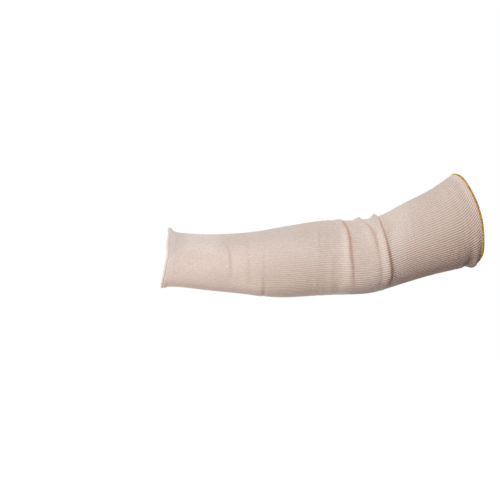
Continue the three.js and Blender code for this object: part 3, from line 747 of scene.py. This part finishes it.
    # painted shade on the lower part of the upper edge, and a darker painted shadow at its very bottom where the edge
    # rolls inward
    hem_low_painted_shade = k.math("MULTIPLY", k.span(spread.outputs["X"], 0.372, 0.394), k.span(spread.outputs["Z"], 0.026, -0.004))
    tone = k.mix(k.math("MULTIPLY", hem_low_painted_shade, 0.34), tone, linear(176, 152, 142))
    curl_painted_shadow = k.math("MULTIPLY", k.span(spread.outputs["X"], 0.385, 0.393), k.span(spread.outputs["Z"], -0.001, -0.007))
    tone = k.mix(k.math("MULTIPLY", curl_painted_shadow, 0.45), tone, linear(140, 121, 112))
    k.link(tone, k.shader.inputs["Base Color"])
    k.shader.inputs["Roughness"].default_value = 0.94
    k.shader.inputs["Specular IOR Level"].default_value = 0.15
    k.shader.inputs["Sheen Weight"].default_value = 0.06
    k.shader.inputs["Sheen Roughness"].default_value = 0.6
    k.shader.inputs["Sheen Tint"].default_value = (1.0, 0.97, 0.95, 1.0)
    height = k.math("ADD", k.math("MULTIPLY", k.math("SUBTRACT", 1.0, gap), 0.5), k.math("MULTIPLY", k.math("SUBTRACT", 1.0, valley), 0.5))
    height = k.math("ADD", height, k.math("MULTIPLY", k.math("MULTIPLY", fine, calm), 0.6))
    bump = k.add("ShaderNodeBump")
    bump.inputs["Strength"].default_value = 0.40
    bump.inputs["Distance"].default_value = 0.00022
    k.link(height, bump.inputs["Height"])
    k.link(bump.outputs["Normal"], k.shader.inputs["Normal"])
    return k.material


def roll_material():
    k = Nodes("cotton_roll")
    uv = k.add("ShaderNodeUVMap", uv_map="Ring")
    place = k.add("ShaderNodeTexCoord").outputs["Object"]
    part = k.add("ShaderNodeSeparateXYZ")
    k.link(uv.outputs["UV"], part.inputs[0])
    across = k.math("ABSOLUTE", k.math("SUBTRACT", k.math("FRACT", part.outputs["X"]), 0.5))
    valley = k.span(across, 0.3, 0.5)
    rows = k.math("ABSOLUTE", k.math("SUBTRACT", k.math("FRACT", k.math("MULTIPLY", part.outputs["Y"], 6.0)), 0.5))
    gap = k.span(rows, 0.3, 0.5)
    fine = k.noise(place, 900.0, 3.0, 0.6)
    # painted shade in the roll's rib valleys and between its rows; the random yarn tone takes the same darker colour
    light, dark = linear(242, 228, 219), linear(214, 192, 174)
    tone = k.mix(k.math("MULTIPLY", valley, 0.35), light, dark)
    tone = k.mix(k.math("MULTIPLY", gap, 0.3), tone, dark)
    tone = k.mix(k.span(fine, 0.45, 0.85, 0.0, 0.25), tone, dark)
    k.link(tone, k.shader.inputs["Base Color"])
    k.shader.inputs["Roughness"].default_value = 0.9
    k.shader.inputs["Specular IOR Level"].default_value = 0.18
    k.shader.inputs["Sheen Weight"].default_value = 0.2
    bump = k.add("ShaderNodeBump")
    bump.inputs["Strength"].default_value = 0.5
    bump.inputs["Distance"].default_value = 0.0002
    k.link(k.math("ADD", k.math("SUBTRACT", 1.0, gap), fine), bump.inputs["Height"])
    k.link(bump.outputs["Normal"], k.shader.inputs["Normal"])
    return k.material


def thread_material():
    k = Nodes("yellow_thread")
    place = k.add("ShaderNodeTexCoord").outputs["Object"]
    fine = k.noise(place, 1400.0, 2.0, 0.6)
    soft = k.noise(place, 190.0, 2.0, 0.5)
    part = k.add("ShaderNodeSeparateXYZ")
    k.link(place, part.inputs[0])
    # painted light: the yellow is lighter along the top of the edge and along its lower part, darker between
    light = k.mix(k.span(part.outputs["Z"], 0.080, 0.106), linear(226, 177, 14), linear(255, 212, 60))
    light = k.mix(k.span(part.outputs["Z"], 0.037, 0.026), light, linear(248, 205, 28))
    tone = k.mix(k.span(fine, 0.3, 0.8), light, linear(188, 138, 9))
    tone = k.mix(k.span(soft, 0.40, 0.66, 0.0, 0.60), tone, linear(146, 104, 5))
    k.link(tone, k.shader.inputs["Base Color"])
    k.shader.inputs["Roughness"].default_value = 0.62
    k.shader.inputs["Specular IOR Level"].default_value = 0.25
    k.shader.inputs["Sheen Weight"].default_value = 0.05
    bump = k.add("ShaderNodeBump")
    bump.inputs["Strength"].default_value = 0.4
    bump.inputs["Distance"].default_value = 0.0001
    k.link(fine, bump.inputs["Height"])
    k.link(bump.outputs["Normal"], k.shader.inputs["Normal"])
    return k.material


# ------------------------------------------------------------------ the pieces

sleeve = knit_tube()
# the second colour is both the painted shade in the rib valleys and the random tone of the yarn
sleeve.data.materials.append(knit_material("cotton_knit", linear(234, 219, 209), linear(184, 146, 120)))
sleeve.data.materials.append(knit_material("cotton_purl", linear(226, 211, 199), linear(184, 148, 124), purl=True))
roll = wrist_roll()
roll.data.materials.append(roll_material())
threads = overlock()
threads.data.materials.append(thread_material())

for piece, node, slot_name in ((sleeve, "sleeve_body", "cotton_knit"), (roll, "wrist_edge", "cotton_edge"),
                               (threads, "hem_overlock", "yellow_thread")):
    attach(piece, "root")
    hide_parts(node)

# ------------------------------------------------------------------ floor, light and camera

floor_mesh = bpy.data.meshes.new("floor")
half, low = 12.0, -1.20
floor_mesh.from_pydata([(-half, -half, low), (half, -half, low), (half, half, low), (-half, half, low)], [], [(0, 1, 2, 3)])
floor = bpy.data.objects.new("floor", floor_mesh)
bpy.context.scene.collection.objects.link(floor)
paint = Nodes("floor_paint")
paint.shader.inputs["Base Color"].default_value = (0.9, 0.9, 0.9, 1)
paint.shader.inputs["Roughness"].default_value = 1.0
paint.shader.inputs["Specular IOR Level"].default_value = 0.0
paint.shader.inputs["Emission Color"].default_value = (1, 1, 1, 1)
paint.shader.inputs["Emission Strength"].default_value = 0.9
floor_mesh.materials.append(paint.material)
floor.visible_diffuse = False

# The room: white as the camera sees it, and on the sleeve a soft light from behind and above
world = bpy.data.worlds.new("studio")
bpy.context.scene.world = world
world.use_nodes = True
tree = world.node_tree
# its glow is soft and weak, so its light is found by the cloth's own rays, with less grain
world.cycles.sampling_method = "NONE"
tree.nodes.clear()
w_out = tree.nodes.new("ShaderNodeOutputWorld")
split = tree.nodes.new("ShaderNodeSeparateXYZ")
tree.links.new(tree.nodes.new("ShaderNodeTexCoord").outputs["Generated"], split.inputs[0])


def glow(axis, power, tint):
    """Light that grows towards one side of the room, or is the same all round."""
    background = tree.nodes.new("ShaderNodeBackground")
    background.inputs["Color"].default_value = (*tint, 1)
    background.inputs["Strength"].default_value = power
    if axis:
        most = tree.nodes.new("ShaderNodeMath")
        most.operation = "MAXIMUM"
        most.inputs[1].default_value = 0.0
        scale = tree.nodes.new("ShaderNodeMath")
        scale.operation = "MULTIPLY"
        scale.inputs[1].default_value = power
        tree.links.new(split.outputs[axis], most.inputs[0])
        tree.links.new(most.outputs[0], scale.inputs[0])
        tree.links.new(scale.outputs[0], background.inputs["Strength"])
    return background.outputs[0]


def both(a, b):
    add = tree.nodes.new("ShaderNodeAddShader")
    tree.links.new(a, add.inputs[0])
    tree.links.new(b, add.inputs[1])
    return add.outputs[0]


room = both(glow("Y", 1.50, (0.870, 0.975, 1.0)), glow("Z", 0.24, (1.0, 0.86, 0.84)))
seen = tree.nodes.new("ShaderNodeMixShader")
tree.links.new(tree.nodes.new("ShaderNodeLightPath").outputs["Is Camera Ray"], seen.inputs[0])
tree.links.new(room, seen.inputs[1])
tree.links.new(glow("", 1.0, (1, 1, 1)), seen.inputs[2])
tree.links.new(seen.outputs[0], w_out.inputs["Surface"])


def area_light(name, place, aim, size, power, tint=(1, 1, 1)):
    data = bpy.data.lights.new(name, "AREA")
    data.shape = "DISK"
    data.size = size
    data.energy = power
    data.color = tint
    ob = bpy.data.objects.new(name, data)
    ob.location = place
    ob.rotation_mode = "QUATERNION"
    ob.rotation_quaternion = (Vector(aim) - Vector(place)).to_track_quat("-Z", "Y")
    bpy.context.scene.collection.objects.link(ob)
    return ob


MIDDLE = (0.16, 0.0, 0.0)


def around_sleeve(turn, rise, reach=1.5):
    """A place at a turn to the right of the front and a rise over it, in degrees."""
    a, e = math.radians(turn), math.radians(rise)
    return (MIDDLE[0] + reach * math.sin(a) * math.cos(e), -reach * math.cos(a) * math.cos(e), reach * math.sin(e))


area_light("key", around_sleeve(0, 30), MIDDLE, 0.4, 10.5, (1.0, 0.880, 0.870))
area_light("left", around_sleeve(-30, 30), MIDDLE, 0.4, 8.18, (0.685, 0.924, 1.0))
area_light("low", around_sleeve(-60, -35), MIDDLE, 0.4, 13.3, (1.0, 0.910, 0.895))

camera_data = bpy.data.cameras.new("camera")
camera_data.sensor_width = 36.0
camera_data.lens = 36.0 * 1600.0 / 650.0
camera_data.clip_end = 100.0
camera = bpy.data.objects.new("camera", camera_data)
camera.location = (0.1102, -1.6, 0.01116)
camera.rotation_euler = (math.pi / 2, 0, 0)
bpy.context.scene.collection.objects.link(camera)
bpy.context.scene.camera = camera
bpy.context.scene.view_settings.view_transform = "Standard"
bpy.context.scene.view_settings.look = "None"
